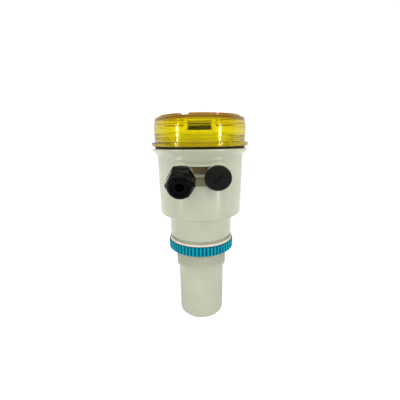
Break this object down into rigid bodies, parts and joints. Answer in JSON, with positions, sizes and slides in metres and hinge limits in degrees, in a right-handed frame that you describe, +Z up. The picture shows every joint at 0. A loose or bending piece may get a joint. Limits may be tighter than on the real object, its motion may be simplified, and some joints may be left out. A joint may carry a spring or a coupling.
{
  "type": "ultrasonic level sensor",
  "caption": "Round plastic sensor head with a screw-on amber cover, a cable gland and a blanking plug, on a threaded probe with a ribbed lock nut, for non-contact level measurement.",
  "frame": {"origin": "middle of the probe's flat sound face, on the sensor's axis", "axes": "+Z up along the sensor's axis from the sound face to the cover; -Y is the side with the two sloping cable ports"},
  "size_m": [0.1074, 0.1316, 0.2374],
  "materials": {
    "shell": "pale green-grey moulding, soft gloss",
    "amber": "clear amber moulding, glossy",
    "teal": "teal moulding, satin",
    "cream": "cream silicone",
    "black_nylon": "black nylon, satin",
    "rubber": "black rubber",
    "plate": "light grey moulding",
    "pane": "clear pane",
    "crystal": "dark green display",
    "key": "dark grey key",
    "switch": "black switch body",
    "board": "green solder mask",
    "steel": "zinc plated",
    "terminal": "green terminal moulding",
    "ferrite": "dark grey ferrite",
    "can": "blue sleeved can",
    "piezo": "fired ceramic",
    "epoxy": "filled resin"
  },
  "bodies": {
    "root": {"housing": "shell", "probe_shell": "shell", "gland_body": "black_nylon", "gland_washer": "rubber", "transducer_lead": "rubber", "face_plate": "plate", "lead_plug": "plate", "display_pane": "pane", "display": "crystal", "key_switch_1": "switch", "key_switch_2": "switch", "key_switch_3": "switch", "display_board": "board", "main_board": "board", "plate_spacer_1": "steel", "plate_spacer_2": "steel", "plate_spacer_3": "steel", "board_spacer_1": "steel", "board_spacer_2": "steel", "board_spacer_3": "steel", "plate_screw_1": "steel", "plate_screw_2": "steel", "plate_screw_3": "steel", "terminal_screw_1": "steel", "terminal_screw_2": "steel", "terminal_screw_3": "steel", "terminal_screw_4": "steel", "terminal_screw_5": "steel", "terminal_screw_6": "steel", "temperature_sensor": "steel", "terminal_block": "terminal", "pulse_transformer": "ferrite", "board_header": "ferrite", "capacitor_1": "can", "capacitor_2": "can", "piezo_disc": "piezo", "matching_disc": "epoxy", "backing_block": "epoxy", "potting": "epoxy"},
    "cover_seal": {"cover_seal": "rubber"},
    "cover": {"cover": "amber"},
    "gasket": {"sealing_gasket": "cream"},
    "lock_nut": {"lock_nut": "teal"},
    "seal_insert": {"gland_seal_insert": "rubber"},
    "dome_nut": {"gland_dome_nut": "black_nylon"},
    "plug_washer": {"plug_washer": "rubber"},
    "blanking_plug": {"blanking_plug": "black_nylon"},
    "key_1": {"key_1": "key"},
    "key_2": {"key_2": "key"},
    "key_3": {"key_3": "key"}
  },
  "joints": [
    {"name": "seal_lift", "type": "slide", "parent": "root", "child": "cover_seal", "axis": [0, 0, 1], "range_m": [0, 0.00601]},
    {"name": "cover_turn", "type": "hinge", "parent": "cover_seal", "child": "cover", "pos_m": [0, 0, 0.2104], "axis": [0, 0, 1], "range_deg": [0, 540]},
    {"name": "gasket_drop", "type": "slide", "parent": "root", "child": "gasket", "axis": [0, 0, -1], "range_m": [0, 0.02101]},
    {"name": "lock_nut_turn", "type": "hinge", "parent": "gasket", "child": "lock_nut", "pos_m": [0, 0, 0.0927], "axis": [0, 0, -1], "range_deg": [0, 3780]},
    {"name": "seal_insert_slide", "type": "slide", "parent": "root", "child": "seal_insert", "axis": [0, -0.9511, -0.309], "range_m": [0, 0.00601]},
    {"name": "dome_nut_turn", "type": "hinge", "parent": "seal_insert", "child": "dome_nut", "pos_m": [-0.0177, -0.06479, 0.17322], "axis": [0, -0.9511, -0.309], "range_deg": [0, 1440]},
    {"name": "plug_washer_slide", "type": "slide", "parent": "root", "child": "plug_washer", "axis": [0, -0.9511, -0.309], "range_m": [0, 0.00751]},
    {"name": "blanking_plug_turn", "type": "hinge", "parent": "plug_washer", "child": "blanking_plug", "pos_m": [0.0177, -0.0548, 0.17646], "axis": [0, -0.9511, -0.309], "range_deg": [0, 1800]},
    {"name": "key_1_press", "type": "slide", "parent": "root", "child": "key_1", "axis": [0, 0, -1], "range_m": [0, 0.0005], "stiffness_N_per_m": 1200},
    {"name": "key_2_press", "type": "slide", "parent": "root", "child": "key_2", "axis": [0, 0, -1], "range_m": [0, 0.0005], "stiffness_N_per_m": 1200},
    {"name": "key_3_press", "type": "slide", "parent": "root", "child": "key_3", "axis": [0, 0, -1], "range_m": [0, 0.0005], "stiffness_N_per_m": 1200}
  ],
  "couplings": [
    {"joint": "seal_lift", "follows": "cover_turn", "m_per_rad": 0.00063662},
    {"joint": "gasket_drop", "follows": "lock_nut_turn", "m_per_rad": 0.00031831},
    {"joint": "seal_insert_slide", "follows": "dome_nut_turn", "m_per_rad": 0.00023873},
    {"joint": "plug_washer_slide", "follows": "blanking_plug_turn", "m_per_rad": 0.00023873}
  ]
}
